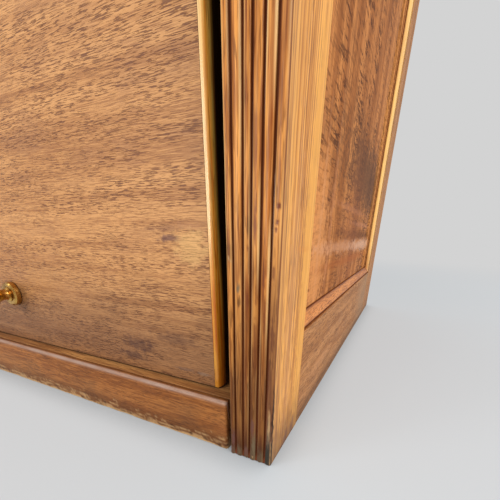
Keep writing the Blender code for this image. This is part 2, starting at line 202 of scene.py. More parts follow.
# Each oak: its colours (pale, mid, dark, pore, blotch); the scales of its grain in 1/m, as
# (across, along) or across alone; how far its grain wanders, in mm; how strong each layer is;
# and its finish, as (roughness, specular level, coat weight, coat roughness).
OAKS = {
    "oak_stile": {
        "tones": ((235, 168, 84), (217, 148, 67), (168, 101, 42), (112, 64, 30), (184, 126, 74)),
        "band": 330, "fibre": (720, 9), "dash": (1100, 75), "ripple": 0.4,
        "bands": 0.35, "fibres": 0.9, "dashes": 0.7, "blotches": 0.15,
        "finish": (0.42, 0.12, 0.08, 0.22)},
    "oak_frame": {
        "tones": ((214, 156, 92), (192, 132, 72), (148, 94, 48), (100, 58, 30), (162, 108, 64)),
        "band": 180, "fibre": (1100, 18), "dash": (1300, 120), "ripple": 0.8,
        "bands": 0.35, "fibres": 0.65, "dashes": 0.55, "blotches": 0.3,
        "finish": (0.42, 0.22, 0.12, 0.25)},
    "oak_reed": {
        "tones": ((230, 158, 80), (196, 122, 52), (140, 76, 28), (92, 46, 18), (158, 96, 50)),
        "band": 260, "fibre": (1700, 20), "dash": (2000, 110), "ripple": 0.4,
        "bands": 0.45, "fibres": 0.75, "dashes": 0.65, "blotches": 0.35,
        "finish": (0.4, 0.1, 0.18, 0.22)},
    "oak_rail": {
        "tones": ((190, 134, 84), (166, 110, 62), (124, 76, 40), (84, 48, 26), (140, 98, 70)),
        "band": 120, "fibre": (1500, 30), "dash": (1600, 150), "ripple": 2.4,
        "bands": 0.25, "fibres": 0.65, "dashes": 0.55, "blotches": 0.35,
        "finish": (0.5, 0.06, 0.08, 0.3)},
    "oak_sill": {
        "tones": ((214, 140, 76), (188, 114, 54), (132, 70, 30), (86, 42, 20), (150, 90, 58)),
        "band": 200, "fibre": (1500, 60), "dash": (1800, 200), "ripple": 1.0,
        "bands": 0.3, "fibres": 0.7, "dashes": 0.5, "blotches": 0.35,
        "finish": (0.4, 0.1, 0.1, 0.2)},
    "oak_panel": {
        "tones": ((196, 128, 70), (168, 102, 50), (120, 68, 30), (74, 36, 14), (130, 80, 50)),
        "band": 70, "fibre": (260, 14), "dash": (700, 90), "ripple": 2.0,
        "bands": 0.35, "fibres": 0.4, "dashes": 0.3, "blotches": 0.35, "flecks": 0.9,
        "finish": (0.42, 0.0, 0.12, 0.05)},
    "oak_door": {
        "tones": ((206, 150, 94), (182, 126, 74), (144, 92, 52), (104, 58, 34), (152, 104, 70)),
        "band": 160, "fibre": (3300, 70), "dash": (3200, 230), "ripple": 0.5,
        "bands": 0.3, "fibres": 0.8, "dashes": 0.85, "blotches": 0.3,
        "finish": (0.42, 0.22, 0.08, 0.3)},
    "oak_lipping": {
        "tones": ((255, 208, 100), (255, 172, 30), (224, 114, 8), (140, 64, 12), (216, 118, 30)),
        "band": 260, "fibre": (1100, 20), "dash": (1500, 90), "ripple": 0.3,
        "bands": 0.4, "fibres": 0.6, "dashes": 0.35, "blotches": 0.3,
        "finish": (0.34, 0.12, 0.65, 0.14)},
    "oak_plinth": {
        "tones": ((184, 120, 62), (156, 94, 42), (116, 64, 26), (74, 40, 18), (128, 76, 42)),
        "band": 110, "fibre": (1400, 70), "dash": (1800, 260), "ripple": 1.2,
        "bands": 0.35, "fibres": 0.65, "dashes": 0.45, "blotches": 0.4,
        "finish": (0.5, 0.1, 0.15, 0.2)},
    "oak_shelf": {
        "tones": ((184, 132, 76), (162, 108, 58), (128, 80, 40), (82, 48, 24), (126, 84, 54)),
        "band": 130, "fibre": (1000, 40), "dash": (1300, 110), "ripple": 1.5,
        "bands": 0.5, "fibres": 0.7, "dashes": 0.5, "blotches": 0.4,
        "finish": (0.55, 0.25, 0.1, 0.4)},
}
# Painted shade and dirt that darken the wood towards the floor: the heights where it starts
# and is full, in mm, and its tint
SHADE_AND_DIRT_FADES = {
    "oak_lipping": (105, 50, (208, 180, 140)),
    "oak_door": (96, 40, (187, 182, 188)),
}
# Patches in the varnish, some of them painted reflection, sheen and shade, in mm from the front
# right bottom corner: centre, half size, colour, strength
PANEL_MARKS = (
    ((-5, 72, 90), (60, 28, 56), (226, 154, 92), 0.6),
    ((-5, 250, 150), (80, 170, 38), (92, 58, 36), 0.85),
    # these three thin bands along the panel are a painted reflection, light and dark
    ((-5, 180, 122), (80, 90, 3), (190, 126, 86), 0.45),
    ((-5, 240, 113), (80, 90, 2.6), (186, 126, 92), 0.45),
    ((-5, 240, 104), (80, 150, 5.5), (104, 58, 26), 0.8),
    ((-5, 185, 100), (60, 55, 70), (142, 84, 52), 0.35),
    # these three thin bands are a painted reflection too
    ((-5, 160, 95.5), (80, 160, 5), (206, 152, 116), 0.45),
    ((-5, 280, 94.5), (80, 110, 7), (212, 170, 144), 0.6),
    ((-5, 190, 84), (80, 150, 4.5), (160, 88, 40), 0.6),
    ((-5, 67, 63), (60, 12, 3.0), (112, 88, 76), 0.8),
    ((-5, 74, 112), (60, 3.5, 60), (214, 152, 104), 0.3),
    ((-5, 99, 108), (60, 4.5, 60), (206, 142, 98), 0.3),
    # a painted sheen along the panel's rear edge
    ((-5, 330, 160), (60, 20, 600), (222, 148, 92), 0.85),
    # painted shade where the panel meets the moulding
    ((-5, 326, 160), (60, 6, 600), (84, 46, 22), 0.85),
)
STILE_MARKS = (
    # a painted highlight along the rear part of the outer side, near the panel
    ((0, 34, 90), (30, 8, 160), (238, 172, 66), 0.45),
    ((0, 16, 70), (30, 8, 90), (208, 154, 104), 0.3),
    ((0, 30, 97.5), (30, 12, 1.6), (206, 130, 50), 0.5),
)
RAIL_MARKS = (
    ((0, 350, 30), (60, 110, 60), (150, 126, 100), 0.45),
    ((0, 200, 4), (60, 300, 3), (110, 74, 48), 0.6),
    ((0, 90, 22), (60, 40, 5), (188, 134, 92), 0.4),
)
DOOR_MARKS = (
    ((-58, 11, 101), (7.5, 6, 2.0), (104, 66, 58), 0.8),
    ((-62, 11, 105), (14, 6, 1.8), (136, 90, 62), 0.5),
    ((-47, 11, 106), (9, 6, 2.0), (150, 100, 72), 0.4),
    ((-46, 11, 97), (12, 6, 9), (226, 178, 112), 0.5),
    ((-88, 11, 45), (14, 6, 5), (98, 60, 50), 0.6),
    ((-94, 11, 37), (12, 6, 3), (92, 56, 48), 0.6),
    ((-44, 11, 35.5), (6, 6, 1.3), (196, 164, 132), 0.55),
    ((-56, 11, 36), (9, 6, 1.2), (160, 128, 106), 0.45),
    ((-60, 11, 52), (16, 6, 4), (104, 64, 48), 0.45),
)
GRAIN = {"X": 0, "Y": 1, "Z": 2}
ARRIS_REACH = 1.2 * MM       # how near an edge the finish is rubbed
GRIME_AND_SHADE_REACH = 4 * MM         # how narrow a corner gets grime and painted shade
FLOOR_DIRT = 22 * MM         # height that mops and shoes reach
# colour of the grime and painted shade in corners
GRIME_AND_SHADE = srgb(52, 26, 11)
DUST = srgb(84, 62, 46)
OAK_RELIEF = 0.10 * MM
# Colours of the paints on modelled pieces, in the order in which they cover each other;
# shade paints stains and painted shade, shine a painted highlight, painted_sheen a painted
# reflection, groove darker grooves and painted shade, split cracks, pits and painted shade in gaps
PAINT_TINTS = {
    "reddish": (112, 52, 26), "shade": (66, 32, 8), "shine": (246, 204, 140), "ash": (104, 90, 68),
    "mauve": (96, 62, 54), "slate": (48, 46, 38), "painted_sheen": (160, 136, 124), "bare": (198, 160, 112),
    "groove": (102, 48, 20), "split": (26, 12, 4),
}
PAINTS = ("tone", "rubbed", *PAINT_TINTS)
TONE_STRENGTH = 0.14         # how much lighter a tone of 1 is


def oak(kind, axis, worn=False, marks=()):
    """Varnished oak: growth bands, fibres, pores, blotches, rubbed edges, and grime with painted
    shade in its corners.
    """
    look = OAKS[kind]
    pale, mid, dark, pore, blotch = (srgb(*tone) for tone in look["tones"])
    roughness, specular, coat, coat_rough = look["finish"]
    g = Graph(f"{kind}_{axis}" + ("_worn" if worn else ""))
    shift = (GRAIN[axis] * 1.7 + len(kind), 3.1, 0.7)
    waved = g.waved(look["ripple"] * MM)

    def grain(across, along, vector=None, detail=3.0, roughness=0.5, distortion=0.0):
        """Noise with one scale across the grain and one along it."""
        scale = [across, across, across]
        scale[GRAIN[axis]] = along
        return g.noise(scale, shift, vector, detail, roughness, distortion)

    bands = grain(look["band"], 6, waved, 3.0, 0.5, 0.4)
    fibres = grain(*look["fibre"], waved, 4.0, 0.62)
    dashes = grain(*look["dash"], waved, 1.5)
    clusters = grain(160, 26, waved, 2.0)
    ragged = grain(260, 260, None, 4.0, 0.65)
    blotches = grain(75, 30, None, 4.0, 0.6, 0.4)

    tone = g.mix(g.span(bands, 0.34, 0.66), mid, pale)
    tone = g.lay(tone, g.span(bands, 0.52, 0.36), look["bands"], dark)
    tone = g.lay(tone, g.span(fibres, 0.52, 0.38), look["fibres"], dark)
    tone = g.lay(tone, g.span(fibres, 0.52, 0.64), look["fibres"], pale)
    tone = g.lay(tone, g.span(blotches, 0.50, 0.68), look["blotches"], blotch)
    pores = g.times(g.span(dashes, 0.47, 0.37), g.span(clusters, 0.34, 0.58, 0.35, 1.0))
    tone = g.lay(tone, pores, look["dashes"], pore)
    if "flecks" in look:
        rungs = g.span(grain(75, 620, waved, 3.0, 0.7), 0.52, 0.40)
        ladders = g.span(grain(30, 9), 0.38, 0.60, 0.3, 1.0)
        tone = g.lay(tone, g.times(rungs, ladders), look["flecks"], pore)
    for place, size, colour, strength in marks:
        tone = g.lay(tone, g.spot(place, size, ragged), strength, srgb(*colour))

    rub = g.times(g.span(g.edge(ARRIS_REACH), 0.02, 0.25), g.span(ragged, 0.42, 0.60))
    tone = g.lay(tone, rub, 0.4, pale)
    # grime and painted shade: darker in narrow corners, which ambient occlusion finds
    grime_and_shade = g.span(g.crevice(GRIME_AND_SHADE_REACH), 0.80, 0.30)
    tone = g.lay(tone, grime_and_shade, 0.4 if worn else 0.7, GRIME_AND_SHADE)
    height = g.math("ADD", g.axis("Z"), g.times(g.math("SUBTRACT", blotches, 0.5), 0.05))
    tone = g.lay(tone, g.span(height, FLOOR_DIRT, 0.0), 0.4, DUST)
    if worn:
        tone = wear_and_painted_light(g, tone, pale)
    # painted shade and dirt, darker towards the floor
    if kind in SHADE_AND_DIRT_FADES:
        start, full, tint = SHADE_AND_DIRT_FADES[kind]
        tone = g.mix(g.span(height, start * MM, full * MM), tone, srgb(*tint), blend="MULTIPLY")
    rough = g.math("ADD", roughness, g.times(fibres, 0.12))
    rough = g.math("ADD", rough, g.times(grime_and_shade, 0.3), clamp=True)
    relief = g.math("SUBTRACT", g.times(fibres, 0.7), g.times(pores, 0.8))
    return g.finish(tone, rough, relief, OAK_RELIEF, Coat_Weight=coat, Coat_Roughness=coat_rough,
                    Coat_IOR=1.5, Specular_IOR_Level=specular)


def wear_and_painted_light(g, tone, pale):
    """Marks painted on a modelled piece: darker grooves, rubbed crests, splits and chips, and painted
    highlight and shade.
    """
    value = g.math("ADD", 1.0, g.times(g.attribute("tone"), TONE_STRENGTH))
    tone = g.node("HueSaturation", {"Value": value, "Color": tone}).outputs["Color"]
    tone = g.mix(g.attribute("rubbed"), tone, pale)
    for paint, tint in PAINT_TINTS.items():
        tone = g.mix(g.attribute(paint), tone, srgb(*tint))
    return tone


def plain_back():
    """Unvarnished board behind the compartments."""
    g = Graph("plywood_back")
    figure = g.noise((22, 22, 1.5), detail=5.0, roughness=0.6, distortion=1.2)
    fibres = g.noise((420, 420, 14), detail=4.0, roughness=0.65)
    tone = g.mix(g.span(figure, 0.35, 0.65), srgb(176, 136, 92), srgb(200, 162, 114))
    tone = g.lay(tone, g.span(fibres, 0.52, 0.34), 0.45, srgb(136, 98, 62))
    return g.finish(tone, g.span(fibres, 0.2, 0.8, 0.55, 0.8), fibres, 0.15 * MM)


def metal(name, bright, dull, rough_low, rough_high, brushed):
    """Metal with patina, dirt in its corners and fine scratches; brushed is their scale in 1/m."""
    g = Graph(name)
    patina = g.noise((160, 160, 160), detail=5.0, roughness=0.6)
    scratch = g.noise(brushed, roughness=0.6)
    tone = g.mix(g.span(patina, 0.40, 0.62), bright, dull)
    tone = g.lay(tone, g.span(g.crevice(2 * MM), 0.9, 0.4), 0.7, srgb(60, 44, 26))
    uneven = g.times(g.math("ADD", patina, scratch), 0.5)
    rough = g.span(uneven, 0.35, 0.65, rough_low, rough_high)
    return g.finish(tone, rough, scratch, 0.02 * MM, Metallic=1.0)


def clear_glass():
    """Thin pane: a low index keeps it from mirroring the lamps as hard white squares."""
    g = Graph("glass")
    ripple = g.noise((9, 9, 9), detail=2.0)
    haze = g.noise((40, 40, 40), detail=4.0, roughness=0.6)
    tone = g.mix(haze, srgb(238, 244, 240), srgb(250, 252, 250))
    return g.finish(tone, g.span(haze, 0.5, 0.8, 0.01, 0.05), ripple, 0.4 * MM,
                    Transmission_Weight=1.0, IOR=1.15)


# ------------------------ pieces
HAIRLINE = 0.1 * MM          # open joint between neighbouring pieces


def linked(name, data):
    """A new object in the scene."""
    made = bpy.data.objects.new(name, data)
    bpy.context.scene.collection.objects.link(made)
    return made


def mesh_object(name, bm, material):
    mesh = bpy.data.meshes.new(name)
    bm.to_mesh(mesh)
    bm.free()
    mesh.materials.append(material)
    return linked(name, mesh)


def add_piece(name, bm, material, body, node=None, smooth=40):
    """Turns a bmesh into a piece that rides on a body and may stand for a CAD node.

    Edges that turn by more than smooth degrees stay sharp.
    """
    bmesh.ops.recalc_face_normals(bm, faces=bm.faces)
    piece = mesh_object(name, bm, material)
    piece.data.shade_smooth()
    piece.data.set_sharp_from_angle(angle=math.radians(smooth))
    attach(piece, body)
    if node:
        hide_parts(node)
    return piece


def soften(piece, radius, segments=3):
    """Rounds the sharp arrises of a piece."""
    bevel = piece.modifiers.new("arris", "BEVEL")
    bevel.width = radius
    bevel.segments = segments
    bevel.limit_method = "ANGLE"
    bevel.angle_limit = math.radians(50)


def board(name, low, high, material, body, slot, node=None, radius=0.7 * MM):
    """A box from low to high with softened arrises."""
    low, high = Vector(low), Vector(high)
    bm = bmesh.new()
    bmesh.ops.create_cube(bm, size=1.0)
    bmesh.ops.scale(bm, vec=high - low, verts=bm.verts)
    bmesh.ops.translate(bm, vec=(low + high) / 2, verts=bm.verts)
    soften(add_piece(name, bm, material, body, node), radius)


def loft(bm, rings, caps=True, slots=None):
    """Skins a list of equally long rings of points; returns the rows of vertices."""
    rows = [[bm.verts.new(point) for point in ring] for ring in rings]
    count = len(rows[0])
    for first, second in zip(rows, rows[1:]):
        for step in range(count):
            after = (step + 1) % count
            face = bm.faces.new((first[step], first[after], second[after], second[step]))
            face.material_index = slots[step] if slots else 0
    if caps:
        bm.faces.new(rows[0])
        bm.faces.new(rows[-1])
    return rows


# ------------------------ wear
def rough_noise(x, y, z):
    return noise.noise(Vector((x, y, z)))


def clamp(value, low, high):
    return min(high, max(low, value))


def smooth_step(start, end, value):
    """0 at start, 1 at end, in either direction."""
    share = clamp((value - start) / (end - start), 0.0, 1.0)
    return share * share * (3 - 2 * share)


def unpainted():
    """The paints of one vertex, each 0 to 1, before any is laid on."""
    return dict.fromkeys(PAINTS, 0.0)


def painted_loft(rings, marks, slots=None):
    """A capped loft with each vertex's paints; returns the bmesh and the rows of vertices."""
    bm = bmesh.new()
    layers = {key: bm.verts.layers.float.new(key) for key in PAINTS}
    rows = loft(bm, rings, slots=slots)
    for verts, row in zip(rows, marks):
        for vert, mark in zip(verts, row):
            for key, layer in layers.items():
                vert[layer] = mark[key]
    return bm, rows


# ------------------------ reeded stiles
CORNER_TONES = (-0.4, 0.65, -0.6, -0.4, 0.2, -0.4)   # how light each reed of that corner is
CORNER_GLEAMS = (0.3, 1.8, 1.5, 0.7, 0.7, 0.7)       # how strong the painted highlight along its edges is
# Marks on the front right corner by paint, in mm from the outer corner and above the floor:
# across, height, half width, half height, how strong
CORNER_MARKS = {
    "shade": (
        (17.3, 111.7, 1.1, 2.2, 0.3), (12.6, 105.7, 0.9, 3.6, 0.6), (20.6, 96.5, 1.6, 4.5, 0.5),
        (16.6, 78.5, 1, 2.6, 0.8), (20.5, 72, 1.3, 6, 0.5), (13, 70, 0.9, 8, 0.45),
        (16.9, 66, 1.2, 5, 0.5), (2.2, 52, 1.1, 9, 0.7), (5.6, 49, 1.2, 7, 0.5),
        (5, 30, 1.3, 8, 0.45),
    ),
    "reddish": (
        (12.4, 98.5, 0.8, 1.6, 0.9), (9.9, 106, 0.8, 7, 0.8), (1.3, 111.6, 1, 1, 1),
        (1.6, 106.8, 0.9, 1.1, 1), (1.9, 104.6, 0.6, 0.8, 0.9), (5.2, 91.5, 0.7, 3.4, 0.6),
        (6.1, 87, 0.6, 4, 0.8), (2.2, 90.5, 0.9, 2.6, 0.7), (9, 82, 0.6, 7, 0.7),
        (5.4, 74, 0.7, 9, 0.75), (9.3, 64, 0.8, 9, 0.7), (1.6, 66, 1.1, 9, 0.7),
        (9.2, 40, 1, 7, 0.5),
    ),
    "bare": (
        (20.9, 94.6, 0.5, 0.9, 0.6), (19.8, 93.6, 0.5, 0.7, 0.5), (9.6, 2.2, 0.5, 0.8, 0.5),
        (1.5, 24, 0.6, 9, 0.6), (0.2, 6, 0.3, 9, 0.9),
    ),
    "ash": (
        (16.8, 84, 0.9, 2.2, 0.9), (8.7, 8, 2, 8.5, 0.85), (16.9, 3, 1.4, 3, 0.6),
        (5.6, 4, 0.9, 4.5, 0.4), (1.5, 17, 1.1, 10, 1),
    ),
    "mauve": (
        (9.9, 20, 1, 6, 0.9), (13.2, 4.5, 1.5, 4.5, 0.8), (20, 10, 1.5, 5.5, 0.9),
        (20.9, 3, 1.2, 3, 0.5),
    ),
    "slate": (
        (2, 5, 1.6, 11, 1),
    ),
}
CHANCE_KINDS = ("shade", "reddish", "reddish", "shade", "bare")
CHANCE_COUNT = 45            # marks on a stile that can't be seen in detail
MARK_REACH = 1.3             # how far above and below itself a mark can show, in half heights
OUTER_SIDE, INNER_SIDE = -1, -2   # stand for a reed's number, and index a stile's chips
SIDE_CHIPS_MM = [0.5, 0.15]  # how far the foot is chipped on the inner and the outer side
FOOT_CHIP_TALL_MM = 3        # height over which a chip fades
SPLIT_TOP_MM = 46.0
SPLIT_DEPTH_MM = 0.4


def reed_profile():
    """Plan of the reeded edge in mm: (inwards from the outer face, depth, reed, groove 0 to 1)."""
    points = []
    start = 0.0
    last = len(REED_WIDTHS_MM) - 1
    for reed, width in enumerate(REED_WIDTHS_MM):
        left = start + (0.0 if reed == 0 else GROOVE_MM / 2)
        right = start + width - (0.0 if reed == last else GROOVE_MM / 2)
        middle, half = (left + right) / 2, (right - left) / 2
        for step in range(13):
            across = -math.cos(math.pi * step / 12)
            depth = BEAD_DEPTH_MM * (1 - (1 - abs(across) ** BEAD_POWER) ** (1 / BEAD_POWER))
            points.append((middle + half * across, depth, reed, depth / GROOVE_DEPTH_MM))
        if reed != last:
            for share in (0.25, 0.75):
                points.append((right + GROOVE_MM * share, GROOVE_DEPTH_MM, reed, 1.0))
        start += width
    return points


def stile_section():
    """Plan of a whole stile, as reed_profile gives it, round from the back of the outer side."""
    near, nearest = 2.6, 1.8      # first points behind the corner reed
    outer = [(0.0, near + (STILE_MM - near) * (1 - step / 14), OUTER_SIDE, 0.0) for step in range(15)]
    outer.append((0.0, nearest, OUTER_SIDE, 0.0))
    inner = [(THICK_MM, back, INNER_SIDE, 0.0) for back in (4.0, 8.0, STILE_MM * 0.5, STILE_MM)]
    return outer + reed_profile() + inner


def stile_levels(height, corner):
    """Heights of a stile's rings, closer together where the photo shows the wear."""
    seen = 200 * MM if corner else 0.0
    fine, coarse = 0.8 * MM, 2 * MM
    levels = [0.0]
    while levels[-1] < height - coarse:
        levels.append(levels[-1] + (fine if levels[-1] < seen else coarse))
    return [*levels, height]


def corner_marks():
    return [(*place, kind, strength) for kind, marks in CORNER_MARKS.items()
            for *place, strength in marks]


def chance_marks(rng, low_z, high_z):
    """Knocks and stains scattered over a stile: across, height, half sizes, paint, strength."""
    return [(rng.uniform(0.8, 21.0), rng.uniform(low_z, high_z) / MM, rng.uniform(0.5, 1.3),
             rng.uniform(1.0, 7.0), rng.choice(CHANCE_KINDS), rng.uniform(0.4, 0.8))
            for _ in range(CHANCE_COUNT)]


def corner_split(across, back, z_mm):
    """How open, 0 to 1, is the split that climbs the corner reed's arris from the floor."""
    if z_mm > SPLIT_TOP_MM:
        return 0.0
    centre = -1.0 + 1.2 * rough_noise(0.0, 0.3 * z_mm, 5.0)
    width = 0.45 + 0.45 * smooth_step(44.0, 20.0, z_mm)
    broken = 1.0 if rough_noise(2.0, 0.15 * z_mm, 1.0) > -0.3 else 0.5
    return (broken * math.exp(-((across - back - centre) / width) ** 2)
            * smooth_step(SPLIT_TOP_MM, 40.0, z_mm))


class StileWearAndLight:
    """The wear, dirt, painted highlight and painted shade of one stile. Everything here is in mm."""

    def __init__(self, node, low_z, high_z, corner):
        rng = random.Random(node)
        self.corner = corner
        self.on_floor = low_z < MM
        self.seed = rng.uniform(0, 50)
        self.tones = CORNER_TONES if corner else [rng.uniform(-0.5, 0.5) for _ in REED_WIDTHS_MM]
        self.gleams = CORNER_GLEAMS if corner else [1.0] * len(REED_WIDTHS_MM)
        self.marks = corner_marks() if corner else chance_marks(rng, low_z, high_z)
        self.chips = [rng.uniform(0.0, 0.8) for _ in REED_WIDTHS_MM] + SIDE_CHIPS_MM

    def point(self, column, z_mm, near):
        """A column of the section at one height: its place across, back and up, and its paints."""
        across, back, reed, groove = column
        mark = unpainted()
        if reed >= 0:
            crest = 1.0 - min(1.0, groove * 1.3)
            across, back = self.knock(across, back, reed, crest, z_mm, near, mark)
            self.paint_reed(across, reed, groove, crest, z_mm, mark)
        elif reed == OUTER_SIDE:
            self.stain_side(back, z_mm, mark)
        else:
            # painted shade over the inner side, which faces the door's gap
            mark["split"] = 0.85
        if self.corner and reed in (0, OUTER_SIDE):
            split = corner_split(across, back, z_mm)
            mark["split"] = max(mark["split"], split)
            back += SPLIT_DEPTH_MM * split
        chip = 0.0
        if self.on_floor:
            if reed >= 0:
                back -= max(0.0, back - 0.6) * smooth_step(5.0, 0.5, z_mm)
            chip = self.chips[reed] * max(0.0, 1.0 - z_mm / FOOT_CHIP_TALL_MM)
            chip *= 0.7 + 0.6 * rough_noise(across, back, self.seed)
        return across, back, max(0.0, chip), mark

    def knock(self, across, back, reed, crest, z_mm, near, mark):
        """Moves a reed's point by hand work and nearby marks, and lays on the marks' paints."""
        phase = 10.0 * reed + self.seed
        across += 0.14 * rough_noise(phase, 0.02 * z_mm, 0.3)
        back += crest * 0.3 * max(0.0, rough_noise(phase, 0.06 * z_mm, 4.1))
        for place, height, wide, tall, kind, strength in near:
            far = math.hypot((across - place) / wide, (z_mm - height) / tall)
            far += 0.5 * rough_noise(1.3 * across, 0.5 * z_mm, height)
            hit = strength * clamp(1.7 - 1.5 * far, 0.0, 1.0)
            mark[kind] = max(mark[kind], hit)
            back += 0.1 * hit * crest
        return clamp(across, 0.0, THICK_MM), back

    def paint_reed(self, across, reed, groove, crest, z_mm, mark):
        """Uneven tone, darker grooves, rubbed crests, a painted highlight along the edges, and
        painted shade and dirt towards the floor.
        """
        phase = 10.0 * reed + self.seed
        mark["tone"] = self.tones[reed] + 0.7 * rough_noise(phase, 0.035 * z_mm, 7.7)
        drift = 0.25 * rough_noise(phase, 0.05 * z_mm, 6.0)
        mark["groove"] = clamp(groove * 1.8 - 0.4 + drift, 0.0, 0.95)
        worn = rough_noise(0.7 * across + phase, 0.06 * z_mm, 2.2)
        mark["rubbed"] = crest * clamp(1.6 * worn - 0.1, 0.0, 0.6)
        drip = rough_noise(1.1 * across + phase, 0.05 * z_mm, 9.4)
        mark["reddish"] = max(mark["reddish"], clamp(2.2 * drip - 0.3, 0.08, 0.6))
        # painted shade and dirt, darker towards the floor
        gloom = smooth_step(124.0, 24.0, z_mm + 25.0 * rough_noise(phase, 0.03 * z_mm, 1.5))
        foot = smooth_step(20.0, 3.0, z_mm)
        mark["shade"] = max(mark["shade"], 0.40 * gloom + 0.34 * gloom * gloom + 0.25 * foot)
        if reed == 0:
            mark["mauve"] = max(mark["mauve"], 0.10 + 0.25 * gloom)
        # painted highlight along the reeds' edges, weaker where the painted shade is
        rim = smooth_step(0.03, 0.25, groove) * smooth_step(0.8, 0.5, groove)
        far_half = across > REED_CENTRES_MM[reed]
        gleam = 0.45 + 1.5 * rough_noise(phase + 3.0 * far_half, 0.022 * z_mm, 8.8)
        gleam = clamp(gleam * self.gleams[reed], 0.0, 0.9)
        mark["shine"] = rim * gleam * (1.0 - 0.85 * gloom)
        scuff = 7.0 + 5.0 * rough_noise(0.5 * across, 0.2 * z_mm, 3.3 + self.seed)
        mark["ash"] = max(mark["ash"], clamp(1.0 - z_mm / scuff, 0.0, 0.45))

    def stain_side(self, back, z_mm, mark):
        """Dirt low on the outer side, a rubbed rear edge and a pale corner."""
        drift = rough_noise(0.2 * back, 0.1 * z_mm, 3.0 + self.seed)
        mark["shade"] = 0.45 * smooth_step(34.0, 2.0, z_mm + 14 * drift)
        mark["mauve"] = 0.6 * smooth_step(0.0, 0.5, drift + 0.35 - 0.06 * z_mm)
        mark["reddish"] = 0.35 * smooth_step(0.1, 0.5, drift) * smooth_step(60.0, 10.0, z_mm)
        mark["rubbed"] = 0.4 * smooth_step(STILE_MM * 0.55, STILE_MM * 0.9, back)
        mark["bare"] = 0.2 * smooth_step(12.0, 3.5, back)


def reeded_stile(name, side, low_z, high_z, node, corner):
    """A front stile with hand-worn reeds; its foot is chipped where it meets the floor."""
    wear = StileWearAndLight(node, low_z, high_z, corner)
    section = stile_section()
    rings = []
    marks = []
    for level in stile_levels(high_z - low_z, corner):
        z_mm = (low_z + level) / MM
        near = [mark for mark in wear.marks if abs(z_mm - mark[1]) < mark[3] * MARK_REACH]
        points = [wear.point(column, z_mm, near) for column in section]
        rings.append([(side * (OUTER_X - across * MM), FRONT + back * MM, low_z + level + chip * MM)
                      for across, back, chip, _ in points])
        marks.append([mark for _, _, _, mark in points])
    slots = [int(reed >= 0) for _, _, reed, _ in section]
    bm, _ = painted_loft(rings, marks, slots)
    stile = add_piece(name, bm, oak_stile_worn, "case", node, smooth=60)
    stile.data.materials.append(oak_reed_worn)


# ------------------------ end frames
MOULD_WIDTH = 7.5 * MM
# across from the frame's flat face towards the panel, depth, how dark: painted shade in the quirk and
# at the panel's edge
MOULDING_MM = (
    (0.0, 0.0, 0.2), (0.15, 1.4, 0.95), (1.0, 1.5, 0.95), (1.3, 0.7, 0.5), (1.9, 0.6, 0.0),
    (3.2, 1.2, 0.0), (4.8, 2.2, 0.0), (6.2, 3.2, 0.1), (7.0, 3.85, 0.5), (7.5, 4.3, 0.9),
)


def panel_moulding(name, side, panel_low, panel_high):
    """The moulded edge round three sides of an end panel, mitred at its rear corners.

    Its upright side is painted lighter, as if it caught the lamp: it takes the lipping's brighter oak
    and a painted highlight.
    """
    thick = OUTER_X - INNER_X
    section = [(across * MM, depth * MM, dark) for across, depth, dark in MOULDING_MM]
    section += [(MOULD_WIDTH, thick, 0.5), (0.0, thick, 0.5)]
    front = FRONT + STILE_DEPTH + 2 * HAIRLINE
    rear = panel_high.y + MOULD_WIDTH
    low = panel_low.z - MOULD_WIDTH
    high = panel_high.z + MOULD_WIDTH
    near_rear = rear - MOULD_WIDTH - 0.5 * MM
    corners = [(front, low, 0, 1), (near_rear, low, 0, 1), (rear, low, -1, 1), (rear, high, -1, -1),
               (near_rear, high, 0, -1), (front, high, 0, -1)]
    rings = []
    for y, z, towards_y, towards_z in corners:
        rings.append([(side * (OUTER_X - depth), y + towards_y * across, z + towards_z * across)
                      for across, depth, _ in section])
    # painted shade in the quirk and at the panel's edge, in the groove paint
    flat_marks = [unpainted() | {"groove": dark} for _, _, dark in section]
    # painted highlight on the upright side
    upright_marks = [mark | {"shine": 0.45 * (1 - mark["groove"])} for mark in flat_marks]
    bm, rows = painted_loft(rings, [flat_marks] * 2 + [upright_marks] * 2 + [flat_marks] * 2)
    upright = set(rows[2]) | set(rows[3])
    for face in bm.faces:
        face.material_index = int(all(vert in upright for vert in face.verts))
    moulding = add_piece(name, bm, oak_sill_worn, "case", smooth=35)
    # the upright side takes the brighter lipping oak, a lighter copy that stands for light
    moulding.data.materials.append(oak_lipping_worn)


